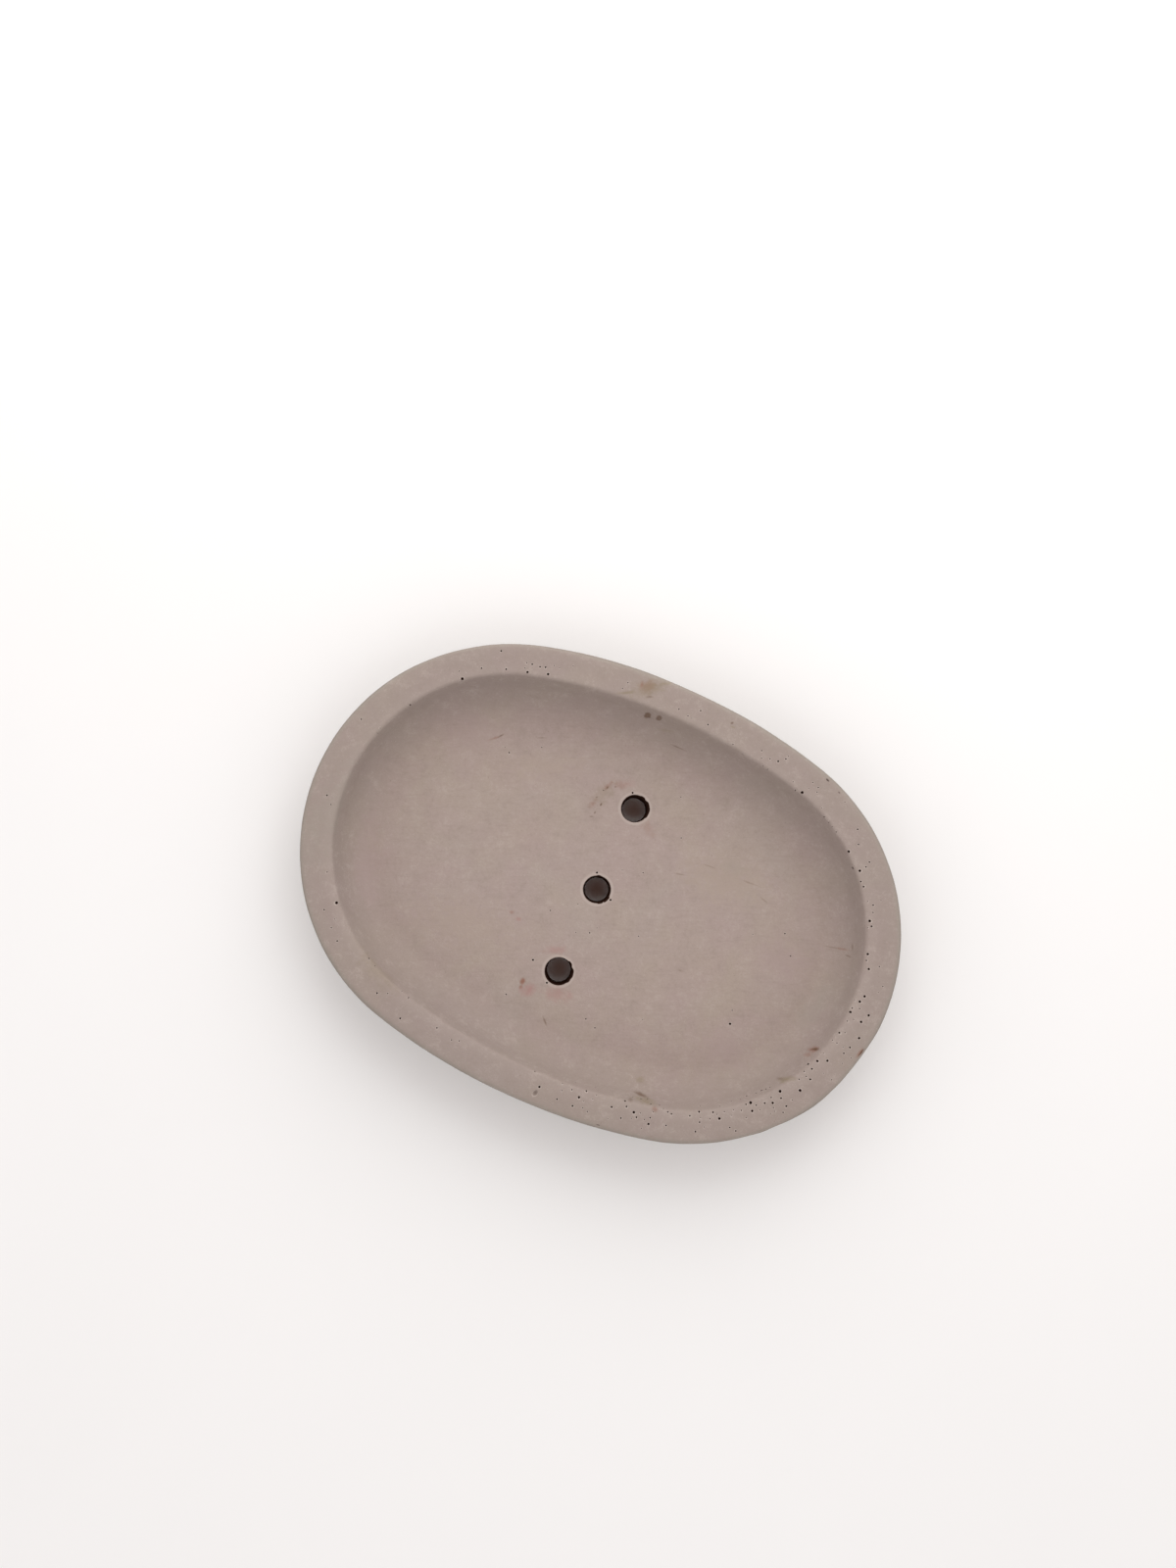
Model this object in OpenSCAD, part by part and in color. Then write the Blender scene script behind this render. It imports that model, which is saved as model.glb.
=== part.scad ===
// Shallow oval soap dish, cast in one piece, standing on four stick-on feet.
// The origin is on the surface that the feet rest on, under the middle of the dish.
// +X runs along the dish, +Y across it, and +Z is up. All sizes are in millimetres.

/* [Outline] */
// Length of the dish across the rim, end to end
rim_l = 140.4; // [118:0.2:180]
// Width of the dish across the rim, side to side
rim_w = 100.6; // [86:0.2:116]
// How far each long side bulges beyond the circles of the round ends
side_bulge = 2.9; // [1:0.1:8]

/* [Casting] */
// Height of the casting, from its underside to the rim
body_h = 16; // [13:0.5:26]
// Width of the rim, from the outer edge to the sharp corner of the basin
rim_land = 7.5; // [5:0.1:12]
// Lean of the outer wall, in degrees, so that the casting leaves its mould
outer_draft = 1.5; // [0:0.25:6]
// Radius of the rim's outer edge
outer_round = 1.3; // [0.4:0.1:2]
// Radius of the rim's inner edge
inner_round = 0.8; // [0.4:0.1:2.5]
// Radius of the outer bottom edge
base_round = 1; // [0.4:0.1:2.5]

/* [Basin] */
// Depth of the basin below the rim
basin_depth = 10; // [7:0.5:12]
// Lean of the basin wall, in degrees
basin_draft = 15; // [5:1:30]
// Radius between the basin wall and the floor
basin_fillet = 8; // [3:0.5:9]

/* [Drain holes] */
// Number of drain holes, in a row across the middle
hole_n = 3; // [1:1:3]
// Diameter of a drain hole
hole_d = 6.2; // [4:0.1:9]
// Distance between the centres of two drain holes
hole_pitch = 21; // [12:0.5:24]
// Width of the broken edge at both ends of a drain hole
hole_edge = 0.25; // [0.1:0.05:0.8]

/* [Feet] */
// Diameter of a foot where it meets its adhesive
foot_d = 10; // [7:0.5:14]
// Thickness of a foot
foot_t = 2; // [1.2:0.1:4]
// Lean of a foot's side, in degrees
foot_draft = 10; // [0:1:20]
// Radius of a foot's bottom edge
foot_round = 0.5; // [0.2:0.1:0.8]
// Distance from the outline to the edge of a foot
foot_inset = 9; // [6:0.5:14]
// Direction of a foot from the centre of its end arc, in degrees from the long axis
foot_dir = 58; // [35:1:75]
// Thickness of the adhesive on a foot
adhesive_t = 0.2; // [0.1:0.05:0.6]
// How far the adhesive stays inside the edge of its foot
adhesive_margin = 0.3; // [0.1:0.1:1]

/* [Hidden] */

// Steps along a full circle, along a small round corner, and along each arc of the floor
$fn = 96;
corner_steps = 8;
outline_steps = 12;
// Overlap of solids that are joined, and how far a cutter runs past a face
join = 1;
// Where an end of the wall laps into a side, it turns this many degrees further,
// and lies this far inside it, so that the two never share a surface
lap_dir = 2;
lap_step = 0.01;

// The outline is four arcs that meet without a corner: two round ends and two flatter sides.
// An end's centre is at end_x on the long axis, and a side's is at side_y beyond the middle.
end_r = rim_w / 2 - side_bulge;
end_x = rim_l / 2 - end_r;
side_y = (end_x * end_x - side_bulge * side_bulge) / (2 * side_bulge);
side_r = rim_w / 2 + side_y;
// Direction, seen from either arc's centre, of the point where an end meets a side
meet_dir = atan2(side_y, end_x);

// Heights above the surface that the feet rest on
base_z = foot_t + adhesive_t;
rim_z = base_z + body_h;
floor_z = rim_z - basin_depth;

// Distances from the outline to the sharp foot of the basin wall, and to the flat of the floor
wall_inset = rim_land + basin_depth * tan(basin_draft);
floor_inset = wall_inset + basin_fillet * tan((90 - basin_draft) / 2);
// How far the outer wall stands out at the underside
outer_flare = body_h * tan(outer_draft);

// A foot's centre lies on a ray from the centre of the end arc.
foot_reach = end_r - foot_inset - foot_d / 2;
foot_x = end_x + foot_reach * cos(foot_dir);
foot_y = foot_reach * sin(foot_dir);

CAST_COLOR = [0.64, 0.57, 0.53];
FOOT_COLOR = [0.86, 0.86, 0.83];
ADHESIVE_COLOR = [0.93, 0.92, 0.88];

function along(a) = [cos(a), sin(a)];
function left_of(a) = [-sin(a), cos(a)];

// Arc that rounds the corner p of a path that comes in along dir_in and leaves along dir_out
function corner(p, dir_in, dir_out, r) =
  let (turn = dir_out - dir_in)
  let (hand = sign(turn))
  let (start = p - r * tan(abs(turn) / 2) * along(dir_in))
  let (centre = start + hand * r * left_of(dir_in))
  [for (i = [0:corner_steps]) centre - hand * r * left_of(dir_in + turn * i / corner_steps)];

// Section of the casting, from the flat of the floor out to the wall, for an arc of radius r
module casting_section(r) {
  flat_u = r - floor_inset - join;
  polygon(concat(
    [[flat_u, base_z]],
    corner([r + outer_flare, base_z], 0, 90 + outer_draft, base_round),
    corner([r, rim_z], 90 + outer_draft, 180, outer_round),
    corner([r - rim_land, rim_z], 180, 270 - basin_draft, inner_round),
    corner([r - wall_inset, floor_z], 270 - basin_draft, 180, basin_fillet),
    [[flat_u, floor_z]]
  ));
}

// The section carried round the outline, an end and a side at a time
module casting_wall() {
  for (turn = [0, 180]) rotate(turn) {
    translate([end_x, 0, 0])
      rotate(-meet_dir - lap_dir)
        rotate_extrude(angle = 2 * (meet_dir + lap_dir)) casting_section(end_r - lap_step);
    translate([0, -side_y, 0])
      rotate(meet_dir)
        rotate_extrude(angle = 180 - 2 * meet_dir) casting_section(side_r);
  }
}

// Points on the four arcs, drawn in by inset all round. None lies where two arcs meet,
// because the swept wall has a seam there.
function outline(inset) = [
  for (turn = [0, 180])
    for (arc = [
      [[end_x, 0], end_r, -meet_dir, meet_dir],
      [[0, -side_y], side_r, meet_dir, 180 - meet_dir]
    ])
      for (i = [0:outline_steps - 1])
        let (dir = arc[2] + (arc[3] - arc[2]) * (i + 0.5) / outline_steps)
        cos(turn) * (arc[0] + (arc[1] - inset) * along(dir))
];

// One drain hole, with its edge broken at the floor and at the underside
module drain_cutter() {
  floor_t = floor_z - base_z;
  cylinder(d = hole_d, h = floor_t + 2 * join, center = true);
  for (end = [-1, 1]) {
    mirror([0, 0, (1 - end) / 2])
      translate([0, 0, floor_t / 2 - hole_edge])
        cylinder(d1 = hole_d, d2 = hole_d + 2 * (hole_edge + join), h = hole_edge + join);
  }
}

module dish_body() {
  color(CAST_COLOR)
    difference() {
      union() {
        casting_wall();
        translate([0, 0, base_z])
          linear_extrude(floor_z - base_z) polygon(outline(floor_inset + join / 2));
      }
      for (i = [0:hole_n - 1])
        translate([0, (i - (hole_n - 1) / 2) * hole_pitch, (base_z + floor_z) / 2]) drain_cutter();
    }
}

// side is -1 for left and 1 for right, and row is -1 for front and 1 for rear
module foot(side, row) {
  bottom_r = foot_d / 2 - foot_t * tan(foot_draft);
  color(FOOT_COLOR)
    translate([side * foot_x, row * foot_y, 0])
      rotate_extrude()
        polygon(concat(
          [[0, 0]],
          corner([bottom_r, 0], 0, 90 - foot_draft, foot_round),
          [[foot_d / 2, foot_t], [0, foot_t]]
        ));
}

module adhesive(side, row) {
  color(ADHESIVE_COLOR)
    translate([side * foot_x, row * foot_y, foot_t])
      cylinder(d = foot_d - 2 * adhesive_margin, h = adhesive_t);
}

dish_body();
foot(-1, -1);  // foot_front_left
foot(1, -1);  // foot_front_right
foot(-1, 1);  // foot_rear_left
foot(1, 1);  // foot_rear_right
adhesive(-1, -1);  // adhesive_front_left
adhesive(1, -1);  // adhesive_front_right
adhesive(-1, 1);  // adhesive_rear_left
adhesive(1, 1);  // adhesive_rear_right
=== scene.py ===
# %% [markdown]
# # A cast concrete soap dish
# The object is a shallow oval soap dish, poured in one piece from fine concrete with a blush pigment.
# It has a flat rim, a rounded basin and three drain holes, and it stands on four stick-on silicone feet.
# We load the engineering model as a fixed frame, and everything we make sits in it, in metres, with +X
# along the dish, +Y across it and +Z up.

# %% Load the frame
import math
import random

import bmesh
import bpy
from mathutils import Matrix, Vector, noise
from mathutils.bvhtree import BVHTree


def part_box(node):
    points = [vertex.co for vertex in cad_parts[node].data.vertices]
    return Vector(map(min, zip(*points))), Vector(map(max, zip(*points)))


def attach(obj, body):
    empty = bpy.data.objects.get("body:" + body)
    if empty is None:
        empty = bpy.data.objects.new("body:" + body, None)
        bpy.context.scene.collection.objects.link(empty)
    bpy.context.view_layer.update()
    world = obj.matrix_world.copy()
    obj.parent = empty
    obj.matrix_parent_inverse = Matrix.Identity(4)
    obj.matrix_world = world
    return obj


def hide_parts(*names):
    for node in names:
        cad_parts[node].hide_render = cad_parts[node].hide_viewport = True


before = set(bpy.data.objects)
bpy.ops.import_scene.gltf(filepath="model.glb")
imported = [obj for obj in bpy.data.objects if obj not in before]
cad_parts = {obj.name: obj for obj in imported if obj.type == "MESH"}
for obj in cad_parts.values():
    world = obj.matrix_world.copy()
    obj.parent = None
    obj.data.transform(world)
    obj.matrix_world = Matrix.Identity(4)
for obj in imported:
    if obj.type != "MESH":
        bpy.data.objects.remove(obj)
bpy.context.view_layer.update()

MM = 0.001
scene = bpy.context.scene
print("nodes:", sorted(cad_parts))

# %% [markdown]
# ## Measures that everything else uses
# The casting's box gives its height and its footprint. The wall leans out a little towards the bottom,
# so that the casting leaves its mould, and the rim is slightly smaller than the box. The outline is an
# oval of four arcs: two round ends, and two flatter sides that meet them smoothly. An arc's centre also
# gives the direction "straight inwards".

# %% The four arcs of the outline
OUTER_DRAFT = math.radians(1.5)
BASE_ROUND = 1.0 * MM
SIDE_BULGE = 2.9 * MM

body_low, body_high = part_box("dish_body")
base_z, rim_z = body_low[2], body_high[2]
wall_flare = (rim_z - base_z) * math.tan(OUTER_DRAFT)
widest = wall_flare + BASE_ROUND * (1 - math.tan(math.radians(45) + OUTER_DRAFT / 2))
half_length = (body_high[0] - body_low[0]) / 2 - widest
half_width = (body_high[1] - body_low[1]) / 2 - widest

end_radius = half_width - SIDE_BULGE
end_centre = half_length - end_radius
side_centre = (end_centre ** 2 - SIDE_BULGE ** 2) / (2 * SIDE_BULGE)
side_radius = half_width + side_centre
meeting_angle = math.atan2(side_centre, end_centre)


def inset_of(x, y):
    """How far a place lies inside the outline of the rim."""
    along, across = abs(x), abs(y)
    if math.atan2(across, along - end_centre) < meeting_angle:
        return end_radius - math.hypot(along - end_centre, across)
    return side_radius - math.hypot(along, across + side_centre)


print("rim in mm:", round(2 * half_length / MM, 1), "x", round(2 * half_width / MM, 1))

# %% [markdown]
# ## The camera
# The photograph looks almost straight down, from about 27 cm above the rim, with the dish turned
# clockwise. The lens is an ordinary wide one. The rotation is built as a camera is aimed: turned about
# the vertical, tipped back a little, then leaned a touch sideways.

# %% Place the camera
LENS_MM = 27.0
SENSOR_MM = 36.0
CAMERA_ABOVE_RIM = 266.6 * MM
CAMERA_OFF_MIDDLE = (-6.35 * MM, 0.14 * MM)
CAMERA_TURN = math.radians(24.21)
CAMERA_TIP = math.radians(4.55)
CAMERA_LEAN = math.radians(-0.64)
NEAREST, FURTHEST = 0.01, 20.0


def put_in_scene(name, data):
    """A new object at the origin that holds some data: a camera, a lamp or a mesh."""
    thing = bpy.data.objects.new(name, data)
    scene.collection.objects.link(thing)
    return thing


camera_data = bpy.data.cameras.new("photo_camera")
camera_data.lens = LENS_MM
camera_data.sensor_width = SENSOR_MM
camera_data.clip_start, camera_data.clip_end = NEAREST, FURTHEST
camera = put_in_scene("photo_camera", camera_data)
camera_rotation = (
    Matrix.Rotation(CAMERA_TURN, 4, "Z")
    @ Matrix.Rotation(CAMERA_TIP, 4, "X")
    @ Matrix.Rotation(CAMERA_LEAN, 4, "Y")
)
camera.matrix_world = Matrix.Translation((*CAMERA_OFF_MIDDLE, rim_z + CAMERA_ABOVE_RIM)) @ camera_rotation
scene.camera = camera
print("camera is", round((camera.location.z - rim_z) / MM), "mm above the rim")

# %% [markdown]
# ## The lamp
# The light in the photograph is a large soft source beyond the top edge of the picture: the basin wall
# on that side is in its own soft shade, and nothing has a hard shadow. A big area lamp does this. Colours
# are shown as they are, without a film look, so that the concrete keeps the tone we mix.

# %% The lamp
LAMP_SIZE = 400 * MM
LAMP_DISTANCE = 430 * MM
LAMP_HEIGHT_ANGLE = math.radians(38)
LAMP_SIDE_ANGLE = math.radians(11)
LAMP_POWER = 0.91
LAMP_COLOUR = (1.0, 0.985, 0.965)

scene.view_settings.view_transform = "Standard"
picture_up = CAMERA_TURN + math.radians(90)
lamp_direction = Vector((
    math.cos(picture_up - LAMP_SIDE_ANGLE) * math.cos(LAMP_HEIGHT_ANGLE),
    math.sin(picture_up - LAMP_SIDE_ANGLE) * math.cos(LAMP_HEIGHT_ANGLE),
    math.sin(LAMP_HEIGHT_ANGLE),
))
lamp_data = bpy.data.lights.new("soft_window", "AREA")
lamp_data.shape = "SQUARE"
lamp_data.size = LAMP_SIZE
lamp_data.energy = LAMP_POWER
lamp_data.color = LAMP_COLOUR
lamp = put_in_scene("soft_window", lamp_data)
lamp.location = lamp_direction * LAMP_DISTANCE
lamp.rotation_mode = "QUATERNION"
lamp.rotation_quaternion = (-lamp_direction).to_track_quat("-Z", "Y")
print("lamp at", [round(value / MM) for value in lamp.location], "mm")

# %% [markdown]
# ## The sky
# An even pale sky fills in the rest of the light. Straight overhead it is dim and warm, because a camera
# held over a table takes the light from there. That matters for the drain holes: what shows through them
# is lit only from straight above. A sky is a graph of nodes, as a material is, and both use the first
# few helpers here.

# %% The sky, and helpers for nodes
SKY_COLOUR = (1.0, 0.995, 0.99, 1.0)
SKY_STRENGTH = 1.12
OVERHEAD_COLOUR = (0.28, 0.153, 0.122, 1.0)
OVERHEAD_NARROW, OVERHEAD_WIDE = math.radians(22), math.radians(32)


def feed(tree, node, sockets):
    """Gives each named or numbered input of a node a value, or another node's output."""
    for key, value in sockets.items():
        if isinstance(value, bpy.types.NodeSocket):
            tree.links.new(value, node.inputs[key])
        else:
            node.inputs[key].default_value = value
    return node


def add(tree, kind, sockets=None, **settings):
    """A new node with its settings made and its sockets fed."""
    node = tree.nodes.new(kind)
    for name, value in settings.items():
        setattr(node, name, value)
    return feed(tree, node, sockets or {})


def remap(tree, value, low, high, to_low=0.0, to_high=1.0):
    """The output of a smooth map from one range to another, clamped at its ends."""
    sockets = {"Value": value, "From Min": low, "From Max": high, "To Min": to_low, "To Max": to_high}
    return add(tree, "ShaderNodeMapRange", sockets, interpolation_type="SMOOTHSTEP").outputs["Result"]


def mixed(tree, factor, below, above):
    """The colour output of a mix node."""
    return add(tree, "ShaderNodeMix", {0: factor, 6: below, 7: above}, data_type="RGBA").outputs[2]


sky = bpy.data.worlds.new("pale_sky")
sky.use_nodes = True
tree = sky.node_tree
direction = add(tree, "ShaderNodeTexCoord").outputs["Generated"]
upwards = add(tree, "ShaderNodeSeparateXYZ", {0: direction}).outputs["Z"]
overhead = remap(tree, upwards, math.cos(OVERHEAD_WIDE), math.cos(OVERHEAD_NARROW))
sky_colour = mixed(tree, overhead, SKY_COLOUR, OVERHEAD_COLOUR)
feed(tree, tree.nodes["Background"], {"Color": sky_colour, "Strength": SKY_STRENGTH})
scene.world = sky
print("sky nodes:", len(tree.nodes))

# %% [markdown]
# ## The floor
# The floor is a plain pale sheet. It belongs to the stage and not to the object.

# %% The floor
FLOOR_HALF = 1500 * MM

floor_mesh = bpy.data.meshes.new("floor")
corners = [(x * FLOOR_HALF, y * FLOOR_HALF, 0.0) for x, y in ((-1, -1), (1, -1), (1, 1), (-1, 1))]
floor_mesh.from_pydata(corners, [], [(0, 1, 2, 3)])
floor = put_in_scene("floor", floor_mesh)
print("floor in mm:", round(2 * FLOOR_HALF / MM), "square")

# %% [markdown]
# ## The section of the casting
# Such a dish is one section carried round an outline. The section is a path of straight runs with
# rounded corners: outer wall, rim, basin wall, floor. Each of its points is a distance out from the
# outline and a height, and one small function rounds each corner.

# %% Corners and the section
BASIN_DRAFT = math.radians(15)
BASIN_DEPTH = 10 * MM
RIM_LAND = 7.5 * MM
RIM_CROWN = 0.3 * MM
OUTER_ROUND = 1.3 * MM
INNER_ROUND = 0.8 * MM
BASIN_FILLET = 8.0 * MM
BASE_STEPS, CORNER_STEPS, BOWL_STEPS = 6, 8, 16
WALL_RUN_STEPS, RIM_RUN_STEPS, SLOPE_RUN_STEPS = 14, 9, 4

floor_z = rim_z - BASIN_DEPTH
wall_inset = RIM_LAND + BASIN_DEPTH * math.tan(BASIN_DRAFT)


def rounded(corner, way_in, way_out, radius, steps):
    """Points of the arc that rounds a corner of a path, between the directions in and out of it."""
    turn = way_out - way_in
    hand = math.copysign(1.0, turn)
    start = Vector(corner) - radius * math.tan(abs(turn) / 2) * Vector((math.cos(way_in), math.sin(way_in)))
    left = lambda angle: Vector((-math.sin(angle), math.cos(angle)))
    centre = start + hand * radius * left(way_in)
    return [centre - hand * radius * left(way_in + turn * i / steps) for i in range(steps + 1)]


def between(first, last, steps):
    """Points strictly between two points of the section."""
    return [first.lerp(last, i / steps) for i in range(1, steps)]


def crowned(points):
    """The same points with the rim bowed, so that its two edges lie lower than its middle."""
    half = RIM_LAND / 2
    fall = lambda point: RIM_CROWN * min(1.0, abs(point.x + half) / half) ** 2
    return [Vector((point.x, point.y - fall(point))) for point in points]


quarter = math.radians(90)
# Here x is the distance outwards from the outline, so it is negative over the rim and the basin.
base_arc = rounded((wall_flare, base_z), 0, quarter + OUTER_DRAFT, BASE_ROUND, BASE_STEPS)
top_arc = rounded((0, rim_z), quarter + OUTER_DRAFT, 2 * quarter, OUTER_ROUND, CORNER_STEPS)
basin_lean = 3 * quarter - BASIN_DRAFT
lip_arc = rounded((-RIM_LAND, rim_z), 2 * quarter, basin_lean, INNER_ROUND, CORNER_STEPS)
bowl_arc = rounded((-wall_inset, floor_z), basin_lean, 2 * quarter, BASIN_FILLET, BOWL_STEPS)
rim_run = crowned(top_arc + between(top_arc[-1], lip_arc[0], RIM_RUN_STEPS) + lip_arc)
section = (
    base_arc + between(base_arc[-1], rim_run[0], WALL_RUN_STEPS)
    + rim_run + between(rim_run[-1], bowl_arc[0], SLOPE_RUN_STEPS)
    + bowl_arc
)
print("section points:", len(section), "and basin floor at", round(floor_z / MM, 1), "mm")

# %% [markdown]
# ## Carrying the section round the oval
# At every step round the outline we know an arc centre and a direction, so each point of the section
# lands at a known distance from that centre. The floor and the underside go on inwards from the ends of
# the section to a spine along the middle of the dish, where the rings close up. The result is a single
# closed skin, which the cuts need.

# %% The skin
END_STEPS = 168
SIDE_STEPS = 88
FLAT_RINGS = 22
WELD_REACH, SLIVER = 0.02 * MM, 0.001 * MM


def stations():
    """(arc centre, outward direction, arc radius, distance in to the spine) all round the oval."""
    found = []
    for half_turn in (1, -1):
        arcs = (
            (Vector((end_centre, 0)), end_radius, -meeting_angle, meeting_angle, END_STEPS),
            (Vector((0, -side_centre)), side_radius, meeting_angle, math.pi - meeting_angle, SIDE_STEPS),
        )
        for centre, radius, start, stop, steps in arcs:
            for i in range(steps):
                angle = start + (stop - start) * i / steps
                direction = Vector((math.cos(angle), math.sin(angle)))
                to_spine = radius - (-centre.y) / direction.y if centre.y else radius
                found.append((half_turn * centre, half_turn * direction, radius, to_spine))
    return found


def ring(places, outwards, height, pull=0.0):
    """Points at one distance from the outline, pulled in towards the spine by a share of what is left."""
    points = []
    for centre, direction, radius, to_spine in places:
        out = outwards - pull * (to_spine + outwards)
        spot = centre + (radius + out) * direction
        points.append(Vector((spot.x, spot.y, height)))
    return points


places = stations()
rings = [ring(places, section[0].x, section[0].y, 1 - i / FLAT_RINGS) for i in range(FLAT_RINGS)]
rings += [ring(places, point.x, point.y) for point in section]
rings += [ring(places, section[-1].x, section[-1].y, (i + 1) / FLAT_RINGS) for i in range(FLAT_RINGS)]

skin = bmesh.new()
grid = [[skin.verts.new(point) for point in row] for row in rings]
columns = len(places)
for low_row, high_row in zip(grid, grid[1:]):
    for i in range(columns):
        j = (i + 1) % columns
        skin.faces.new((low_row[i], low_row[j], high_row[j], high_row[i]))
bmesh.ops.remove_doubles(skin, verts=skin.verts, dist=WELD_REACH)
bmesh.ops.dissolve_degenerate(skin, edges=skin.edges, dist=SLIVER)
bmesh.ops.recalc_face_normals(skin, faces=skin.faces)
open_edges = sum(1 for edge in skin.edges if len(edge.link_faces) != 2)
print("skin:", len(skin.verts), "points,", len(skin.faces), "faces,", open_edges, "open edges")

# %% [markdown]
# ## Making it look poured
# A poured and hand-sanded dish is never exact. The rim wanders by a few tenths of a millimetre, the edge
# is lumpier at one corner where it was rubbed down, and the rim is a little wider at one end. We move the
# points of the skin along their own normals by smooth noise, which changes the shape itself and not only
# its shading. The sanding block also took a little more off the outer wall at some places than at others.
# Near the base the movement fades, so that the dish keeps the footprint it was given.

# %% Uneven surfaces
LONG_WAVE, LONG_WAVE_SIZE = 0.16 * MM, 34 * MM
SHORT_WAVE, SHORT_WAVE_SIZE = 0.045 * MM, 7 * MM
RUBBED_CORNER = Vector((60 * MM, -31 * MM))
RUBBED_REACH, RUBBED_CORE = 16 * MM, 0.4
RUBBED_WAVE, RUBBED_WAVE_SIZE, RUBBED_AWAY = 0.20 * MM, 4.5 * MM, 0.2
# Heights above the base between which the movement grows, and insets over which the wall's part fades
STEADY_BELOW, FREE_ABOVE = 2 * MM, 8 * MM
WALL_FADE = (2 * MM, 5 * MM)
# The rim gets wider towards one end: by how much, over which insets, and over which stretch of the length
WIDER_RIM = 0.6 * MM
WIDER_INSETS = (3 * MM, 6.5 * MM)
WIDER_STRETCH = (20 * MM, 62 * MM)
# (x, y, how far it reaches, how far the outer wall stands out there), in mm
SANDED = (
    (-45, 42, 24, -0.32),
    (2, 50, 16, -0.16),
    (46, -40, 16, -0.14),
    (69, -11, 9, -0.20),
    (62, -25, 7, 0.26),
)
SANDED_CORE = 0.15


def smooth_step(value, low, high):
    """0 below low, 1 above high, and a soft slope between them."""
    t = min(max((value - low) / (high - low), 0.0), 1.0)
    return t * t * (3 - 2 * t)


def unevenness(point):
    """How far the surface stands out or in at a point, in metres."""
    wave = LONG_WAVE * noise.noise(point / LONG_WAVE_SIZE)
    wave += SHORT_WAVE * noise.noise(point / SHORT_WAVE_SIZE + Vector((7, 3, 5)))
    near = 1 - smooth_step((point.xy - RUBBED_CORNER).length, RUBBED_REACH * RUBBED_CORE, RUBBED_REACH)
    lumps = noise.noise(point / RUBBED_WAVE_SIZE + Vector((1, 9, 4)))
    wave += near * RUBBED_WAVE * (lumps - RUBBED_AWAY)
    return wave


def sanded(point):
    """How far the outer wall stands out at a point because of uneven sanding, in metres."""
    outer = 1 - smooth_step(inset_of(point.x, point.y), *WALL_FADE)
    shares = [
        amount * (1 - smooth_step((point.xy / MM - Vector((x, y))).length, reach * SANDED_CORE, reach))
        for x, y, reach, amount in SANDED
    ]
    return outer * sum(shares) * MM


skin.normal_update()
moves = []
for vert in skin.verts:
    steady = smooth_step(vert.co.z, base_z + STEADY_BELOW, base_z + FREE_ABOVE)
    move = vert.normal * unevenness(vert.co) * steady
    move += Vector((vert.normal.x, vert.normal.y, 0)) * sanded(vert.co) * steady
    in_basin = smooth_step(inset_of(vert.co.x, vert.co.y), *WIDER_INSETS)
    above_base = smooth_step(vert.co.z, floor_z - 1 * MM, floor_z + 1 * MM)
    move.x -= WIDER_RIM * in_basin * above_base * smooth_step(vert.co.x, *WIDER_STRETCH)
    moves.append(move)
for vert, move in zip(skin.verts, moves):
    vert.co += move
    vert.co.z = min(max(vert.co.z, base_z), rim_z)
print("largest move in mm:", round(max(move.length for move in moves) / MM, 2))

# %% [markdown]
# ## Cutting the drain holes
# The holes were left by three tapered pins in the mould, so they are round and a little narrower at the
# bottom, and their upper edges have crumbled. Each hole's cutter is turned as on a lathe: a tapered shank
# with a flare at both ends. Where an edge is chipped, the flare reaches further out that way, with some
# noise. An air pocket lay against the front pin, and left a dark hollow in the wall of that hole. The row
# of holes leans a little against the dish, as the photograph shows.

# %% Drain hole cutters
HOLE_RADIUS = 3.27 * MM
HOLE_TAPER = 0.45 * MM
HOLE_PITCH = 21.0 * MM
HOLE_EDGE = 0.10 * MM
HOLE_ROW_LEAN = math.radians(1.1)
HOLE_ROW_MIDDLE = Vector((-0.5 * MM, -0.28 * MM))
TURN_STEPS = 72
POCKET_FLOOR, POCKET_ROOF = 0.5 * MM, 1.8 * MM
# For each hole, from front to rear: (direction in degrees, width in degrees, reach in mm, depth in mm)
CHIPS = (
    ((14, 50, 0.24, 1.0), (56, 26, 0.16, 0.7), (-20, 24, 0.14, 0.6)),
    ((-22, 36, 0.20, 0.9), (-52, 24, 0.14, 0.6), (104, 20, 0.10, 0.4)),
    ((30, 56, 0.22, 1.1), (-4, 30, 0.14, 0.8), (78, 24, 0.10, 0.6)),
)
# For each hole: (direction in degrees, width in degrees, reach in mm) of its air pocket
POCKETS = ((-72, 96, 1.3), (0, 0, 0), (0, 0, 0))


def turned(bm, centre, profile):
    """A closed solid turned about the vertical through centre. profile(angle) lists (radius, height)."""
    cols = []
    for i in range(TURN_STEPS):
        angle = 2 * math.pi * i / TURN_STEPS
        cols.append([
            bm.verts.new((centre.x + r * math.cos(angle), centre.y + r * math.sin(angle), z))
            for r, z in profile(angle)
        ])
    for i in range(TURN_STEPS):
        near, far = cols[i], cols[(i + 1) % TURN_STEPS]
        for k in range(len(near) - 1):
            bm.faces.new((near[k], far[k], far[k + 1], near[k + 1]))
    bm.faces.new([col[0] for col in reversed(cols)])
    bm.faces.new([col[-1] for col in cols])


def share_at(angle, direction, width):
    """1 in the middle of a sector that is width degrees wide, falling to 0 at its sides."""
    off = abs((math.degrees(angle) - direction + 180) % 360 - 180)
    return 1 - smooth_step(off, width * 0.3, width * 0.5) if width else 0.0


def chip_at(angle, chips):
    """(reach, depth) of the crumbled edge in one direction."""
    shares = [(share_at(angle, direction, width), far, deep) for direction, width, far, deep in chips]
    reach = HOLE_EDGE + sum(share * far for share, far, _ in shares) * MM
    depth = HOLE_EDGE + sum(share * deep for share, _, deep in shares) * MM
    return reach, depth


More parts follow.
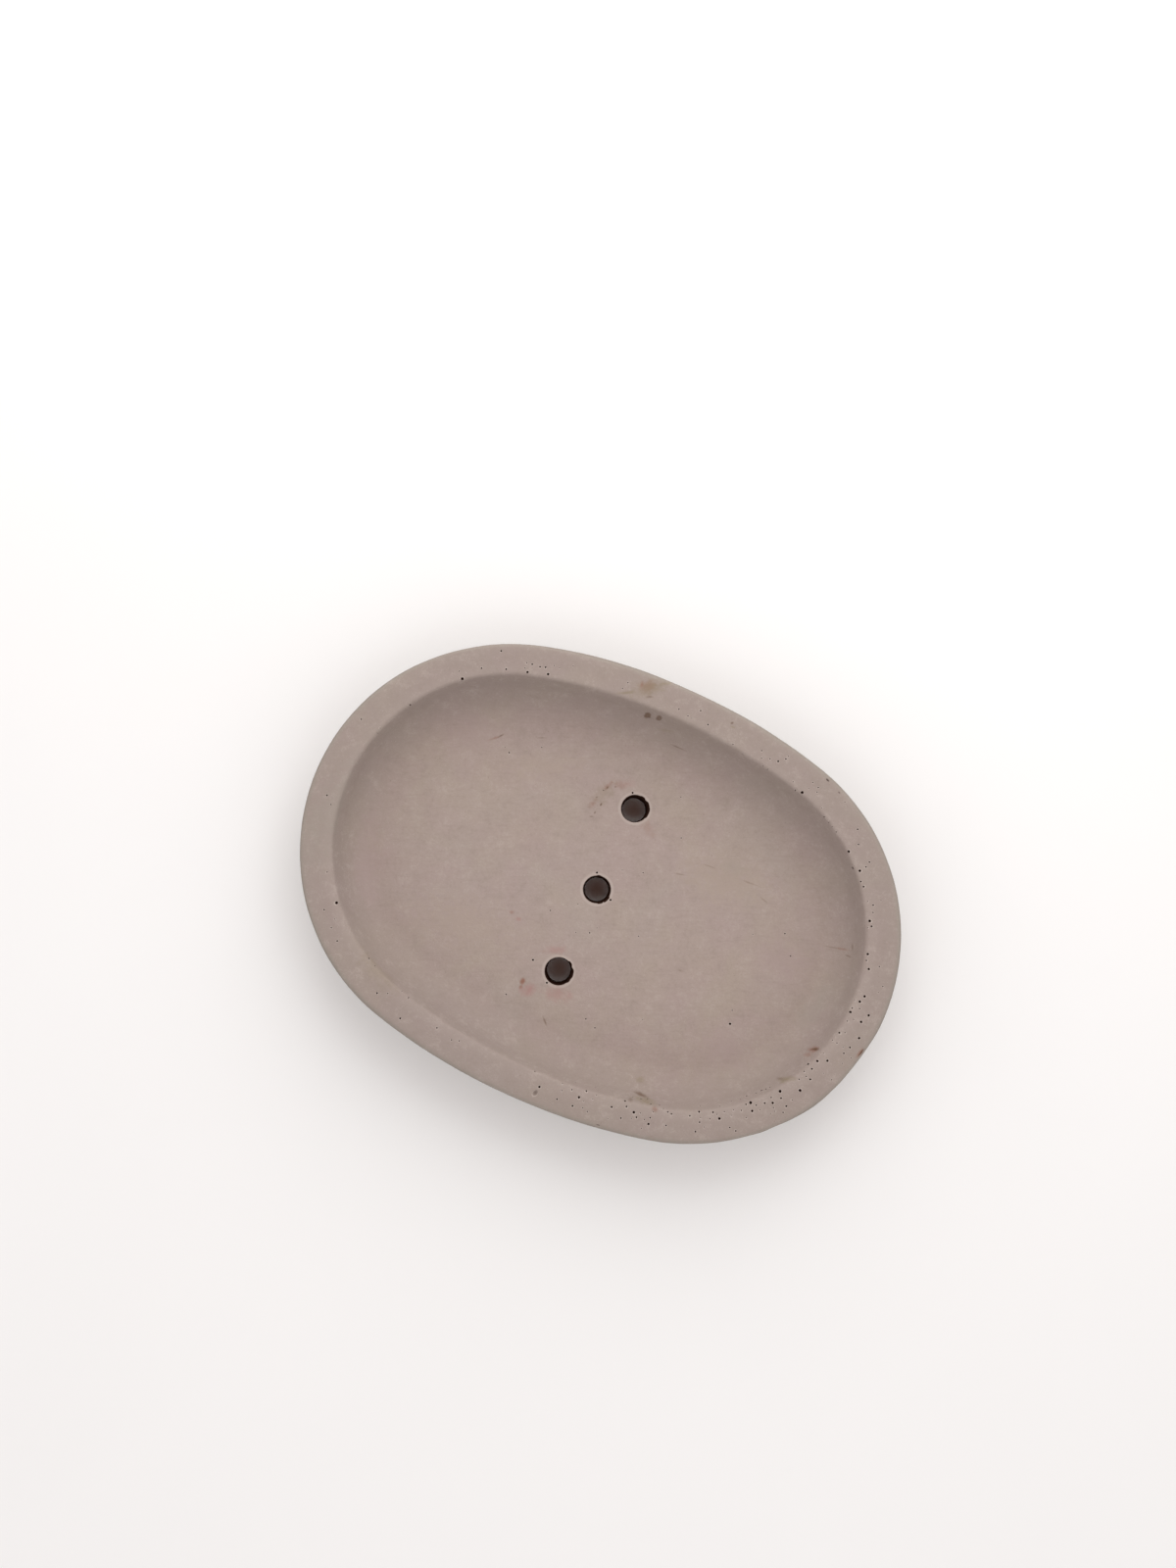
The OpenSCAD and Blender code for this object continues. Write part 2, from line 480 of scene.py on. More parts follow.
def hole_profile(seed, chips, pocket):
    """The outline of a hole's cutter as a function of direction."""
    pocket_direction, pocket_width, pocket_reach = pocket

    def profile(angle):
        # The chips are coarsely and finely rough, as shares of their reach, and the shank is barely oval.
        around = Vector((math.cos(angle), math.sin(angle), seed))
        rough = noise.noise(around * 2.7) * 0.10 + noise.noise(around * 7.0) * 0.06
        shank = HOLE_RADIUS * (1 + 0.012 * noise.noise(around * 1.3))
        foot = shank - HOLE_TAPER
        waist = shank - HOLE_TAPER * POCKET_ROOF / (floor_z - base_z)
        hollow = share_at(angle, pocket_direction, pocket_width) * pocket_reach * MM
        reach, depth = chip_at(angle, chips)
        reach *= 1 + 3.0 * rough
        return [
            (foot + 2 * HOLE_EDGE, base_z - 1 * MM),
            (foot + HOLE_EDGE, base_z),
            (foot, base_z + HOLE_EDGE),
            (foot, base_z + POCKET_FLOOR),
            (foot + hollow, base_z + POCKET_FLOOR + 0.2 * MM),
            (waist + hollow, floor_z - POCKET_ROOF - 0.2 * MM),
            (waist, floor_z - POCKET_ROOF),
            (shank, floor_z - depth),
            (shank + 0.45 * reach, floor_z - 0.55 * depth),
            (shank + 0.8 * reach, floor_z - 0.22 * depth),
            (shank + reach, floor_z + 0.02 * MM),
            (shank + reach + 0.2 * MM, floor_z + 1.5 * MM),
        ]
    return profile


row_direction = Vector((math.sin(HOLE_ROW_LEAN), math.cos(HOLE_ROW_LEAN)))
hole_centres = [HOLE_ROW_MIDDLE + step * HOLE_PITCH * row_direction for step in (-1, 0, 1)]
drill = bmesh.new()
for i, centre in enumerate(hole_centres):
    turned(drill, centre, hole_profile(3.0 * i, CHIPS[i], POCKETS[i]))
bmesh.ops.recalc_face_normals(drill, faces=drill.faces)
print("holes at", [[round(v / MM, 1) for v in spot] for spot in hole_centres])

# %% [markdown]
# ## Pinholes
# Air bubbles that reached the surface left pinholes: round pits of 0.2 to 0.7 mm, nearly as deep as wide,
# with a slightly broken edge. They are real holes in the mesh. Most sit on the inner half of the rim, and
# they crowd towards one end of the dish. The ones that catch the eye have a place of their own, and a
# seeded draw scatters the rest, zone by zone.

# %% Where the pinholes are
# The pits that catch the eye in the photograph, as places in mm, grouped by how wide they are in mm
EYE_CATCHERS = {
    0.66: ((33, 39), (50, -29.5), (-53, -27), (59, -22.5), (55, -24.5), (-48.5, 31)),
    0.60: ((27, -42), (45, -35.5), (-31, 40), (48, 31), (50.5, 28), (52, 28), (58.5, 18.5)),
    0.58: ((66.5, -1), (65.5, -3), (63.5, 1), (64, 2.5), (62.5, -2), (66.5, -6.5)),
    0.55: ((-35.5, 38.5), (31, -43), (5.5, -45.5), (14.5, -44), (54.5, -27.5), (51, -31), (62, -14),
           (60, -15), (58.5, -16.5), (61, 11.5), (62.5, 8.5), (40.5, -16)),
    # These five lie close to the drain holes.
    0.50: ((3.4, -1.2), (-7.4, -21.3), (-2.1, 23.9), (-2.1, 3.3), (-2.3, -24.8)),
}
# (from, to) in degrees round the middle from +X, how many, and (nearest, furthest) from the outline in mm
ZONES = (
    ((-58, -22), 78, (2.2, 8.4)),
    ((-84, -58), 24, (2.5, 8.2)),
    ((-22, 24), 36, (2.0, 7.8)),
    ((24, 62), 30, (1.8, 7.6)),
    ((62, 150), 20, (3.5, 7.6)),
    ((150, 276), 16, (3.0, 7.6)),
    ((0, 360), 16, (1.0, 6.5)),
)
FLOOR_PITS = 22
FLOOR_PIT_INSETS = (16, 46)
PIT_SMALLEST, PIT_LARGEST, FLOOR_PIT_LARGEST = 0.22, 0.46, 0.36
# The higher this power, the more of the pits are small
SMALLNESS = 1.6
PIT_SPACING = 0.85
HOLE_CLEARANCE = 1.4 * MM
SEARCH_STEPS = 40
# Larger hollows on the rim: (x, y, direction in degrees, half length, half width, depth), in mm
NICKS = (
    (5.2, -47.2, 74, 0.95, 0.60, 0.15),
    (37.2, 44.0, -21, 0.55, 0.28, 0.20),
    (40.7, 42.4, -30, 0.40, 0.22, 0.15),
    (20.9, -47.9, 10, 0.55, 0.26, 0.15),
    (68.4, -9.2, 76, 0.95, 0.30, 0.14),
)
rng = random.Random(41)


def on_outline(angle, inset):
    """The point at an inset from the outline, in the direction angle from the middle, in mm."""
    way = Vector((math.cos(angle), math.sin(angle)))
    low, high = 0.0, half_length
    for _ in range(SEARCH_STEPS):
        middle = (low + high) / 2
        inside = inset_of(*(way * middle)) > inset * MM
        low, high = (middle, high) if inside else (low, middle)
    return way * low / MM


def far_from(spot, others, gap):
    """Whether a spot is further than gap from all the others."""
    return all((spot - other).length > gap for other in others)


pits = [(Vector(spot), across) for across, spots in EYE_CATCHERS.items() for spot in spots]
nick_spots = [Vector((nick[0], nick[1])) for nick in NICKS]


def add_pit(spot, across):
    """Keeps a pit unless it would run into another one or into a drain hole."""
    clear = far_from(spot, [other for other, _ in pits], PIT_SPACING)
    clear = clear and far_from(spot, nick_spots, 2 * PIT_SPACING)
    if clear and far_from(spot * MM, hole_centres, HOLE_RADIUS + HOLE_CLEARANCE):
        pits.append((spot, across))


for (start, stop), count, (near, far) in ZONES:
    for _ in range(count):
        share = rng.random()
        inset = near + (far - near) * (1 - share * share)
        spot = on_outline(math.radians(rng.uniform(start, stop)), inset)
        add_pit(spot, PIT_SMALLEST + (PIT_LARGEST - PIT_SMALLEST) * rng.random() ** SMALLNESS)
for _ in range(FLOOR_PITS):
    spot = on_outline(rng.uniform(0, 2 * math.pi), rng.uniform(*FLOOR_PIT_INSETS))
    add_pit(spot, rng.uniform(PIT_SMALLEST, FLOOR_PIT_LARGEST))
print("pinholes on top:", len(pits))

# %% [markdown]
# The underside was the open face of the mould, so its bubbles are larger and fewer, and the outer wall
# has some too. Each cutter is a small bulb that enters along the surface's own normal: a narrow collar at
# the surface makes the broken edge, and the bulb is widest just under it. We ask the skin where it is.

# %% Pinhole cutters
COLLAR = 0.18 * MM
COLLAR_DROP = 0.03 * MM
BULB_SIDES = 12
LUMPINESS = 0.16
UNDER_PITS = 34
UNDER_RADII = (0.2, 0.75)
UNDER_SPACING, UNDER_CLEARANCE = 2.5, 1.5 * MM
# How far from the outline the underside's pits lie in mm: the least, the spread, and the spread's power
UNDER_NEAREST, UNDER_SPREAD, UNDER_POWER = 3, 42, 0.8
WALL_PITS = 64
WALL_PIT_RADIUS, WALL_PIT_SPREAD = 0.12, 0.24
# A pit on the rounded lip of the basin opens partly upwards, so its direction leans up by this share
OPENS_UP = Vector((0, 0, 0.8))
WALL_PIT_LOW, WALL_PIT_HIGH = 2.0, 12.5
WELL_OUTSIDE = 1.2

surface = BVHTree.FromBMesh(skin)


def bulb(bm, spot, normal, radius, seed):
    """A bulb-shaped cutter that enters the surface at spot, against its normal."""
    lump = lambda k, i: 1 + LUMPINESS * noise.noise(Vector((seed, k * 1.7, i * 0.9)))
    # (radius, height over the surface), from the collar down to the bottom of the pit
    outline = (
        (radius + 2.4 * COLLAR, 1.4 * COLLAR_DROP),
        (radius + COLLAR, 0.0),
        (radius, -COLLAR_DROP),
        (radius * 1.10, -0.45 * radius),
        (radius * 0.98, -1.1 * radius),
        (radius * 0.55, -1.75 * radius),
    )
    frame_of = normal.to_track_quat("Z", "Y").to_matrix()
    loops = []
    for k, (r, z) in enumerate(outline):
        loop = []
        for i in range(BULB_SIDES):
            angle = 2 * math.pi * i / BULB_SIDES
            local = Vector((math.cos(angle), math.sin(angle), 0)) * r * lump(min(k, 3), i)
            local += Vector((0, 0, z))
            loop.append(bm.verts.new(spot + frame_of @ local))
        loops.append(loop)
    for upper, lower in zip(loops, loops[1:]):
        for i in range(BULB_SIDES):
            j = (i + 1) % BULB_SIDES
            bm.faces.new((upper[i], lower[i], lower[j], upper[j]))
    bm.faces.new(loops[0])
    bm.faces.new(list(reversed(loops[-1])))


def top_at(x, y):
    """The place on top of the skin over x, y in mm, and its normal."""
    above = Vector((x * MM, y * MM, rim_z + 20 * MM))
    return surface.ray_cast(above, Vector((0, 0, -1)))[:2]


bulbs = bmesh.new()
for i, (spot, across) in enumerate(pits):
    hit, normal = top_at(*spot)
    bulb(bulbs, hit, (normal + OPENS_UP).normalized(), across * MM / 2, 1.0 + i)
for x, y, direction, half_long, half_wide, deep in NICKS:
    sized = Matrix.Diagonal((half_long * MM, half_wide * MM, deep * MM, 1.0))
    turned_by = Matrix.Rotation(math.radians(direction), 4, "Z")
    placed = Matrix.Translation(top_at(x, y)[0]) @ turned_by @ sized
    bmesh.ops.create_icosphere(bulbs, subdivisions=3, radius=1.0, matrix=placed)
under_spots = []
while len(under_spots) < UNDER_PITS:
    angle = rng.uniform(0, 2 * math.pi)
    spot = on_outline(angle, UNDER_NEAREST + UNDER_SPREAD * rng.random() ** UNDER_POWER)
    apart = far_from(spot, under_spots, UNDER_SPACING)
    if apart and far_from(spot * MM, hole_centres, HOLE_RADIUS + UNDER_CLEARANCE):
        under_spots.append(spot)
for i, spot in enumerate(under_spots):
    below = Vector((spot.x * MM, spot.y * MM, base_z - 20 * MM))
    hit, normal, _, _ = surface.ray_cast(below, Vector((0, 0, 1)))
    bulb(bulbs, hit, normal, rng.uniform(*UNDER_RADII) * MM, 500.0 + i)
for i in range(WALL_PITS):
    outside = on_outline(rng.uniform(0, 2 * math.pi), 0.0) * WELL_OUTSIDE * MM
    up = base_z + rng.uniform(WALL_PIT_LOW, WALL_PIT_HIGH) * MM
    inwards = Vector((-outside.x, -outside.y, 0)).normalized()
    hit, normal, _, _ = surface.ray_cast(Vector((*outside, up)), inwards)
    bulb(bulbs, hit, normal, (WALL_PIT_RADIUS + WALL_PIT_SPREAD * rng.random() ** 2) * MM, 700.0 + i)
bmesh.ops.recalc_face_normals(bulbs, faces=bulbs.faces)
print("bulbs:", len(pits) + len(under_spots) + WALL_PITS, "and nicks:", len(NICKS))

# %% [markdown]
# ## Cutting
# Blender's Boolean modifier takes the cutters away from the skin. Its manifold solver is fast and exact
# on closed meshes, which all of ours are.

# %% Take the cutters away from the skin


def mesh_object(name, bm):
    """A new object from a bmesh, which is freed."""
    mesh = bpy.data.meshes.new(name)
    bm.to_mesh(mesh)
    bm.free()
    return put_in_scene(name, mesh)


def carve(piece, cutter):
    """Cuts the cutter out of the piece for good, and removes the cutter."""
    cut = piece.modifiers.new("cut", "BOOLEAN")
    cut.operation = "DIFFERENCE"
    cut.solver = "MANIFOLD"
    cut.object = cutter
    result = bpy.data.meshes.new_from_object(piece.evaluated_get(bpy.context.evaluated_depsgraph_get()))
    piece.modifiers.clear()
    old, piece.data = piece.data, result
    bpy.data.meshes.remove(old)
    bpy.data.objects.remove(cutter)


dish = mesh_object("concrete_dish", skin)
carve(dish, mesh_object("drain_cutters", drill))
carve(dish, mesh_object("pinhole_cutters", bulbs))
print("dish:", len(dish.data.vertices), "points,", len(dish.data.polygons), "faces")

# %% [markdown]
# The concrete needs to know two things that a texture can't see: how deep a point lies under the uncut
# skin, so that pits can be painted dark with shade and grime, and how far it lies inside the outline, so
# that wear, tone and painted shade can follow the rim's edges. We write both on the mesh, in millimetres,
# as attributes that a material can read.

# %% What each point of the mesh remembers
SHARP_ANGLE = math.radians(24)

depth = dish.data.attributes.new("cut_depth", "FLOAT", "POINT")
inset = dish.data.attributes.new("rim_inset", "FLOAT", "POINT")
for vert in dish.data.vertices:
    _, _, _, distance = surface.find_nearest(vert.co)
    depth.data[vert.index].value = distance / MM
    inset.data[vert.index].value = inset_of(vert.co.x, vert.co.y) / MM
dish.data.shade_smooth()
dish.data.set_sharp_from_angle(angle=SHARP_ANGLE)
deepest = max(item.value for item in depth.data)
print("deepest point under the skin, in mm:", round(deepest, 1))

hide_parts("dish_body")
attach(dish, "root")

# %% [markdown]
# ## Small helpers for materials
# A few helpers keep the graphs short to write. The most useful one makes a node group, an effect with
# named inputs that several materials can share. All our textures are measured in millimetres on the
# object itself.

# %% Helpers for groups and materials


def new_group(name, inputs, outputs):
    """A node group with named sockets. Returns its tree, what it is given, and its output node."""
    tree = bpy.data.node_groups.new(name, "ShaderNodeTree")
    kinds = {"color": "NodeSocketColor", "float": "NodeSocketFloat", "vector": "NodeSocketVector"}
    for way, sockets in (("INPUT", inputs), ("OUTPUT", outputs)):
        for label, kind in sockets.items():
            tree.interface.new_socket(name=label, in_out=way, socket_type=kinds[kind])
    given = tree.nodes.new("NodeGroupInput").outputs
    return tree, [given[label] for label in inputs], tree.nodes.new("NodeGroupOutput")


def use(tree, group, **sockets):
    """Places a node group. An underscore in a socket's name stands for a space."""
    spaced = {name.replace("_", " "): value for name, value in sockets.items()}
    return add(tree, "ShaderNodeGroup", spaced, node_tree=group)


def math_node(tree, operation, first, second=0.0):
    """The output of a two-value math node."""
    return add(tree, "ShaderNodeMath", {0: first, 1: second}, operation=operation).outputs[0]


def times(tree, first, second):
    """The product of two values."""
    return math_node(tree, "MULTIPLY", first, second)


def scaled(tree, place, factor):
    """A place with all its coordinates multiplied by one factor."""
    return add(tree, "ShaderNodeVectorMath", {0: place, 3: factor}, operation="SCALE").outputs[0]


def vector_math(tree, operation, first, second, output="Vector"):
    """An output of a vector math node: a vector, or the number that a distance is."""
    return add(tree, "ShaderNodeVectorMath", {0: first, 1: second}, operation=operation).outputs[output]


def noise_of(tree, place, size, detail=3.0, roughness=0.55, distortion=0.0):
    """Noise whose lumps are about size across, in the units of place."""
    sockets = {"Vector": place, "Scale": 1.0 / size, "Detail": detail,
               "Roughness": roughness, "Distortion": distortion}
    return add(tree, "ShaderNodeTexNoise", sockets).outputs[0]


def new_material(name):
    """A material, its node tree, its Principled shader, and the place on the object in millimetres."""
    material = bpy.data.materials.new(name)
    material.use_nodes = True
    tree = material.node_tree
    where = add(tree, "ShaderNodeTexCoord").outputs["Object"]
    return material, tree, tree.nodes["Principled BSDF"], scaled(tree, where, 1 / MM)


print("helpers ready")

# %% [markdown]
# ## Shared effects
# Each effect is a node group. The first two come from plain noise. *Clouding* is the slow drift of
# pigment through the pour. *Mottling* is the patchy way in which cement dries, and its noise is nearly as
# strong at the finest scale as at the coarsest.

# %% Clouding and mottling


def in_lumps(tree, place, size):
    """A place counted in lumps of a size that a socket gives."""
    return scaled(tree, place, math_node(tree, "DIVIDE", 1.0, size))


clouding, (place, size, contrast), made = new_group(
    "clouding", {"Place": "vector", "Size": "float", "Contrast": "float"}, {"Mask": "float"})
drift = noise_of(clouding, in_lumps(clouding, place, size), 1.0, 5.0, 0.6, distortion=0.6)
stretched = times(clouding, math_node(clouding, "SUBTRACT", drift, 0.5), contrast)
shifted = add(clouding, "ShaderNodeMath", {0: stretched, 1: 0.5}, operation="ADD", use_clamp=True)
feed(clouding, made, {"Mask": shifted.outputs[0]})

mottling, (place, size), made = new_group(
    "mottling", {"Place": "vector", "Size": "float"}, {"Dark": "float", "Pale": "float"})
patches = noise_of(mottling, in_lumps(mottling, place, size), 1.0, detail=5.0, roughness=0.97)
feed(mottling, made, {
    "Dark": remap(mottling, patches, 0.50, 0.33),
    "Pale": remap(mottling, patches, 0.50, 0.67),
})


def clouded(tree, place, size, contrast):
    """The clouding group's mask, with clouds of one size."""
    return use(tree, clouding, Place=place, Size=size, Contrast=contrast).outputs["Mask"]


print("groups:", clouding.name, mottling.name)

# %% [markdown]
# *Brushing* leaves faint streaks along one direction, from the brushed skin of the mould: it is noise in
# a space that we turn and then squeeze along the streaks. *Grain* is the sand in the mix and the skin of
# dried cement, as a height for the bump and as light and dark specks.

# %% Brushing and grain
STREAK_STRETCH = (0.16, 1.0, 1.0)


def turned_back(tree, place, turn):
    """A place as it is seen from a frame turned about the vertical."""
    sockets = {"Vector": place, "Angle": times(tree, turn, -1.0)}
    return add(tree, "ShaderNodeVectorRotate", sockets, rotation_type="Z_AXIS").outputs[0]


brushing, (place, turn, width), made = new_group(
    "brushing", {"Place": "vector", "Turn": "float", "Width": "float"}, {"Mask": "float"})
drawn = vector_math(brushing, "MULTIPLY", turned_back(brushing, place, turn), STREAK_STRETCH)
strokes = noise_of(brushing, in_lumps(brushing, drawn, width), 1.0, 4.0, 0.65, distortion=0.5)
feed(brushing, made, {"Mask": remap(brushing, strokes, 0.50, 0.34)})

grain, (place, size), made = new_group(
    "grain", {"Place": "vector", "Size": "float"}, {"Height": "float", "Dark": "float", "Pale": "float"})
grit = in_lumps(grain, place, size)
sand = times(grain, noise_of(grain, grit, 1.0, detail=6.0, roughness=0.7), 0.7)
coarse = times(grain, noise_of(grain, grit, 4.5), 0.6)
speckle = noise_of(grain, grit, 0.9, detail=2.0, roughness=0.5)
feed(grain, made, {
    "Height": math_node(grain, "ADD", sand, coarse),
    "Dark": remap(grain, speckle, 0.66, 0.78),
    "Pale": remap(grain, speckle, 0.36, 0.26),
})
print("groups:", brushing.name, grain.name)

# %% [markdown]
# Two more effects have a place of their own on the object. A *ring* follows the edge of a drain hole. A
# *stain* is a soft-edged patch at a given spot, turned to a given direction, and noise breaks its edge up,
# so that no stain looks like an ellipse.

# %% Rings and stains
ring_round, (place, centre, radius, width), made = new_group(
    "ring_round", {"Place": "vector", "Centre": "vector", "Radius": "float", "Width": "float"},
    {"Mask": "float"})
away = vector_math(ring_round, "DISTANCE", place, centre, output="Value")
off_ring = math_node(ring_round, "ABSOLUTE", math_node(ring_round, "SUBTRACT", away, radius))
off_in_widths = math_node(ring_round, "DIVIDE", off_ring, width)
feed(ring_round, made, {"Mask": remap(ring_round, off_in_widths, 1.0, 0.2)})

stain, (below, tone, place, centre, turn, half_size, softness, breakup, strength), made = new_group(
    "stain",
    {"Colour": "color", "Stain": "color", "Place": "vector", "Centre": "vector", "Turn": "float",
     "Half Size": "vector", "Softness": "float", "Breakup": "float", "Strength": "float"},
    {"Colour": "color"})
offset = turned_back(stain, vector_math(stain, "SUBTRACT", place, centre), turn)
relative = vector_math(stain, "DIVIDE", offset, half_size)
reach = add(stain, "ShaderNodeVectorMath", {0: relative}, operation="LENGTH").outputs["Value"]
ragged = math_node(stain, "SUBTRACT", noise_of(stain, place, 1.6, detail=6.0, roughness=0.7), 0.5)
edge = math_node(stain, "ADD", reach, times(stain, ragged, breakup))
patch = remap(stain, edge, 1.0, math_node(stain, "SUBTRACT", 1.0, softness))
feed(stain, made, {"Colour": mixed(stain, times(stain, patch, strength), below, tone)})
print("groups:", ring_round.name, stain.name)

# %% [markdown]
# ## The concrete
# The body colour drifts between a warm beige and a pinker tone, and painted shade darkens the basin wall
# and the floor beside it. The outer edge of the rim and the wall below it have a greyer, slightly green
# cement skin, darkened further by painted shade. On top of that come, in the order in which they are laid:
# the patches and streaks of drying, specks in the mix, a paler inner rim edge that is part wear and part
# painted highlight, hollows painted dark with shade and grime, and last the stains of use. So the colour
# is a stack of layers, and each layer is a tone, a mask and a strength.

# %% Tones of the concrete
TAUPE = (0.346, 0.2855, 0.2552, 1.0)
BEIGE = (0.354, 0.288, 0.240, 1.0)
MAUVE = (0.348, 0.270, 0.2548, 1.0)
GREY = (0.290, 0.258, 0.222, 1.0)
SLATE_AND_EDGE_SHADE = (0.190, 0.172, 0.148, 1.0)
PALE = (0.440, 0.374, 0.337, 1.0)
RIM_TONE_AND_WALL_SHADE = (0.256, 0.211, 0.189, 1.0)
SHADE = (0.272, 0.2195, 0.1925, 1.0)
DARK = (0.190, 0.138, 0.115, 1.0)
PIT_SHADE_AND_GRIME = (0.036, 0.016, 0.011, 1.0)
UMBER = (0.120, 0.068, 0.040, 1.0)
RUST = (0.230, 0.105, 0.070, 1.0)
ROSE = (0.330, 0.185, 0.170, 1.0)
OLIVE = (0.230, 0.185, 0.120, 1.0)


def laid_over(tree, colour, layers):
    """The colour under layers of (tone, mask, strength), the first of them lowest."""
    for tone, mask, strength in layers:
        colour = mixed(tree, times(tree, mask, strength), colour, tone)
    return colour


concrete, tree, shader, place = new_material("cast_concrete")
rim_inset = add(tree, "ShaderNodeAttribute", attribute_name="rim_inset").outputs["Fac"]
print("brightest and darkest tone:", max(PALE[:3]), max(PIT_SHADE_AND_GRIME[:3]))

# %% [markdown]
# Masks say where a layer shows. Some are the shared effects, and some are ranges of the inset that the
# mesh remembers, in millimetres in from the outline. The inset wavers a little, so that no band of colour
# on the rim has a ruled edge.

# %% The layers of the pour, with painted shade
CLOUD_SHIFT = (310.0, 70.0, 0.0)
WAVER = 0.7

clouds = clouded(tree, place, 24.0, 3.4)
elsewhere = vector_math(tree, "ADD", place, CLOUD_SHIFT)
blushes = clouded(tree, elsewhere, 15.0, 4.0)
blotches = clouded(tree, place, 8.0, 2.6)
mottle = use(tree, mottling, Place=place, Size=4.6)
grains = use(tree, grain, Place=place, Size=0.45)
streaks = use(tree, brushing, Place=place, Turn=CAMERA_TURN, Width=0.9).outputs["Mask"]
waver = times(tree, math_node(tree, "SUBTRACT", blotches, 0.5), WAVER)
wavering_inset = math_node(tree, "ADD", rim_inset, waver)
greenish = times(tree, remap(tree, wavering_inset, 5.5, 1.5), blotches)
wall_blush = times(tree, remap(tree, rim_inset, 0.6, 0.0), blushes)
pale_patches = times(tree, mottle.outputs["Pale"], remap(tree, rim_inset, 0.2, 1.5, 0.20, 0.34))

pour_and_painted_shade = (
    (BEIGE, clouds, 0.60),
    (MAUVE, blushes, 0.60),
    # Painted shade: this layer darkens the basin wall and fades out across the floor up to 17.5 mm in; over
    # the rim and outer wall it is a darker tone of the concrete.
    (RIM_TONE_AND_WALL_SHADE, remap(tree, rim_inset, 17.5, 8.5), 0.46),
    (GREY, remap(tree, wavering_inset, 1.5, 0.4), 0.62),
    (GREY, greenish, 0.16),
    # Painted shade: the outer rim edge and the outer wall are darkened towards a greenish slate, standing
    # in for their shade, with a little of their own greenish tone.
    (SLATE_AND_EDGE_SHADE, remap(tree, rim_inset, 0.65, 0.15), 0.60),
    (TAUPE, wall_blush, 0.34),
    (SHADE, mottle.outputs["Dark"], 0.42),
    (PALE, pale_patches, 1.0),
    (SHADE, streaks, 0.20),
    (DARK, grains.outputs["Dark"], 0.38),
    (PALE, grains.outputs["Pale"], 0.33),
)
colour = laid_over(tree, TAUPE, pour_and_painted_shade)
print("layers of the pour:", len(pour_and_painted_shade))

# %% [markdown]
# Hands and a sanding block leave their mark on the rim: its inner edge is paler, partly rubbed wear and
# partly a painted highlight. The pits are painted dark inside, with painted shade and grime, and have a
# pale broken edge, and a pale ring of fines lies round each drain hole.

# %% Worn edges and a painted highlight, rings, and hollows in painted shade
HALO_OUT, HALO_WIDTH = 0.35, 0.5


def halo(centre):
    """The mask of the pale ring round a drain hole."""
    return use(tree, ring_round, Place=place, Centre=(centre.x / MM, centre.y / MM, floor_z / MM),
               Radius=HOLE_RADIUS / MM + HALO_OUT, Width=HALO_WIDTH).outputs["Mask"]


place_height = add(tree, "ShaderNodeSeparateXYZ", {0: place}).outputs["Z"]
on_top = remap(tree, place_height, rim_z / MM - 2.0, rim_z / MM - 0.9)
inner_edge_wear_and_highlight = times(tree, remap(tree, wavering_inset, 4.6, 6.6), remap(tree, wavering_inset, 7.9, 7.3))
cut_depth = add(tree, "ShaderNodeAttribute", attribute_name="cut_depth").outputs["Fac"]
broken_edge = times(tree, remap(tree, cut_depth, 0.0, 0.02), remap(tree, cut_depth, 0.10, 0.04))
in_shaded_hollow = remap(tree, cut_depth, 0.05, 0.26)

# Painted highlight and wear: a paler band along the inner edge of the rim.
wear_and_painted_light = [(PALE, times(tree, inner_edge_wear_and_highlight, on_top), 0.11), (PALE, broken_edge, 0.75)]
wear_and_painted_light += [(PALE, halo(centre), 0.60) for centre in hole_centres]
# Painted shade and grime: points more than a few hundredths of a millimetre deep in a pit or drain hole are
# painted near black.
wear_and_painted_light += [(PIT_SHADE_AND_GRIME, in_shaded_hollow, 1.0)]
colour = laid_over(tree, colour, wear_and_painted_light)
print("layers of wear:", len(wear_and_painted_light))

# %% [markdown]
# ## Marks of use
# Each mark has a place, a size and a direction on the object, read off the photograph. There are broad
# tints where the pour dried differently, soap residue and rust-brown smears on the rim, a speckled arc
# beside the rear hole, rosy smudges by the front hole, and fine cracks. A mark reaches only a little way
# up and down from the surface it is on, so that it doesn't print through to the underside.

# %% Marks of use
# (colour, x, y, direction in degrees, half length, half width, strength), in mm
TINTS = (
    (MAUVE, -52, -17, 104, 19, 7, 0.55),
    (MAUVE, -42, 21, 40, 12, 6, 0.45),
    (MAUVE, 47, 3, 20, 12, 7, 0.5),
    (MAUVE, 42, -22, 10, 12, 7, 0.5),
    (BEIGE, 26, 14, 10, 16, 9, 0.6),
    (BEIGE, -24, 21, 24, 13, 5, 0.5),
    (BEIGE, -26, -20, 10, 20, 9, 0.5),
    (GREY, 57, -4, 80, 11, 4, 0.35),
    (GREY, 26.4, 17.6, 15, 4, 2.6, 0.3),
    (OLIVE, -38, -37, -26, 9, 3.4, 0.3),
    (GREY, -62, -8, 84, 22, 8, 0.4),
)
TINT_BREAKUP = 2.4
